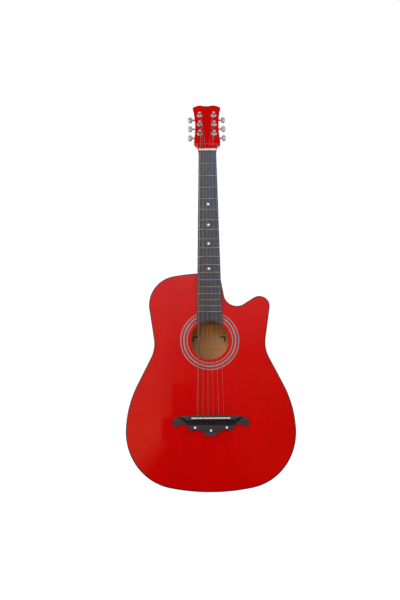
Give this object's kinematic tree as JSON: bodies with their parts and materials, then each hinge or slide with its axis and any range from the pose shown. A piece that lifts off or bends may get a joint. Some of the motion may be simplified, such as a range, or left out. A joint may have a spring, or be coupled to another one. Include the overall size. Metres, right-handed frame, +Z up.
{
  "type": "steel-string acoustic guitar",
  "caption": "Cutaway steel-string acoustic guitar with a flat hollow body, fretted neck, pitched headstock, bolted pinless bridge and geared tuning machines.",
  "frame": {"origin": "middle of the bounding box at the bottom of the body, so the neck's centre line is X = 0 and the body's tail is Z = 0", "axes": "+Z up the neck, -Y out of the soundboard, +Y out of the back, +X towards the cutaway side"},
  "size_m": [0.3666, 0.0964, 0.965],
  "materials": {
    "red_lacquer": "gloss red lacquer over plywood or basswood",
    "black_binding": "glossy black plastic",
    "bare_spruce": "bare light softwood",
    "inner_wood": "bare brown hardwood",
    "rosette_grey": "grey rings under lacquer",
    "paper_label": "plain aged paper",
    "dark_rosewood": "dark satin hardwood",
    "ivory_plastic": "ivory-white plastic",
    "pearl_dot": "pearly white plastic",
    "fret_metal": "polished nickel silver",
    "nickel": "polished nickel plate",
    "gear_brass": "machined brass",
    "steel": "plain steel",
    "bronze_string": "bronze-wound string",
    "steel_string": "plain steel wire"
  },
  "bodies": {
    "guitar": {"top": "red_lacquer", "back": "red_lacquer", "bindings": "black_binding", "side_bass": "red_lacquer", "side_treble": "red_lacquer", "neck_block": "inner_wood", "tail_block": "inner_wood", "linings": "inner_wood", "top_braces": "bare_spruce", "back_braces": "bare_spruce", "bridge_plate": "inner_wood", "rosette": "rosette_grey", "label": "paper_label", "bridge": "dark_rosewood", "saddle": "ivory_plastic", "bridge_bolts": "steel", "bridge_caps": "pearl_dot", "neck": "red_lacquer", "heel_cap": "black_binding", "neck_bolts": "steel", "truss_rod": "steel", "fingerboard": "dark_rosewood", "frets": "fret_metal", "fret_markers": "pearl_dot", "nut": "ivory_plastic", "tuner_plates": "nickel", "plate_screws": "nickel", "bushings": "nickel", "wound_strings": "bronze_string", "plain_strings": "steel_string"},
    "post_1": {"post_1": "nickel", "gear_1": "gear_brass", "string_coil_1": "bronze_string"},
    "peg_1": {"worm_1": "steel", "button_1": "nickel"},
    "post_2": {"post_2": "nickel", "gear_2": "gear_brass", "string_coil_2": "bronze_string"},
    "peg_2": {"worm_2": "steel", "button_2": "nickel"},
    "post_3": {"post_3": "nickel", "gear_3": "gear_brass", "string_coil_3": "bronze_string"},
    "peg_3": {"worm_3": "steel", "button_3": "nickel"},
    "post_4": {"post_4": "nickel", "gear_4": "gear_brass", "string_coil_4": "bronze_string"},
    "peg_4": {"worm_4": "steel", "button_4": "nickel"},
    "post_5": {"post_5": "nickel", "gear_5": "gear_brass", "string_coil_5": "steel_string"},
    "peg_5": {"worm_5": "steel", "button_5": "nickel"},
    "post_6": {"post_6": "nickel", "gear_6": "gear_brass", "string_coil_6": "steel_string"},
    "peg_6": {"worm_6": "steel", "button_6": "nickel"}
  },
  "joints": [
    {"name": "peg_turn_1", "type": "hinge", "parent": "guitar", "child": "peg_1", "pos_m": [-0.0187, -0.00388, 0.85702], "axis": [-1, 0, 0], "continuous": true},
    {"name": "post_turn_1", "type": "hinge", "parent": "guitar", "child": "post_1", "pos_m": [-0.0187, -0.0243, 0.85617], "axis": [0, -0.9659, 0.2588], "continuous": true},
    {"name": "peg_turn_2", "type": "hinge", "parent": "guitar", "child": "peg_2", "pos_m": [-0.0187, 0.00517, 0.89083], "axis": [-1, 0, 0], "continuous": true},
    {"name": "post_turn_2", "type": "hinge", "parent": "guitar", "child": "post_2", "pos_m": [-0.0187, -0.01524, 0.88998], "axis": [0, -0.9659, 0.2588], "continuous": true},
    {"name": "peg_turn_3", "type": "hinge", "parent": "guitar", "child": "peg_3", "pos_m": [-0.0187, 0.01423, 0.92463], "axis": [-1, 0, 0], "continuous": true},
    {"name": "post_turn_3", "type": "hinge", "parent": "guitar", "child": "post_3", "pos_m": [-0.0187, -0.00618, 0.92379], "axis": [0, -0.9659, 0.2588], "continuous": true},
    {"name": "peg_turn_4", "type": "hinge", "parent": "guitar", "child": "peg_4", "pos_m": [0.0187, 0.01423, 0.92463], "axis": [1, 0, 0], "continuous": true},
    {"name": "post_turn_4", "type": "hinge", "parent": "guitar", "child": "post_4", "pos_m": [0.0187, -0.00618, 0.92379], "axis": [0, -0.9659, 0.2588], "continuous": true},
    {"name": "peg_turn_5", "type": "hinge", "parent": "guitar", "child": "peg_5", "pos_m": [0.0187, 0.00517, 0.89083], "axis": [1, 0, 0], "continuous": true},
    {"name": "post_turn_5", "type": "hinge", "parent": "guitar", "child": "post_5", "pos_m": [0.0187, -0.01524, 0.88998], "axis": [0, -0.9659, 0.2588], "continuous": true},
    {"name": "peg_turn_6", "type": "hinge", "parent": "guitar", "child": "peg_6", "pos_m": [0.0187, -0.00388, 0.85702], "axis": [1, 0, 0], "continuous": true},
    {"name": "post_turn_6", "type": "hinge", "parent": "guitar", "child": "post_6", "pos_m": [0.0187, -0.0243, 0.85617], "axis": [0, -0.9659, 0.2588], "continuous": true}
  ],
  "couplings": [
    {"joint": "post_turn_1", "follows": "peg_turn_1", "ratio": 0.071429},
    {"joint": "post_turn_2", "follows": "peg_turn_2", "ratio": 0.071429},
    {"joint": "post_turn_3", "follows": "peg_turn_3", "ratio": 0.071429},
    {"joint": "post_turn_4", "follows": "peg_turn_4", "ratio": 0.071429},
    {"joint": "post_turn_5", "follows": "peg_turn_5", "ratio": 0.071429},
    {"joint": "post_turn_6", "follows": "peg_turn_6", "ratio": 0.071429}
  ]
}
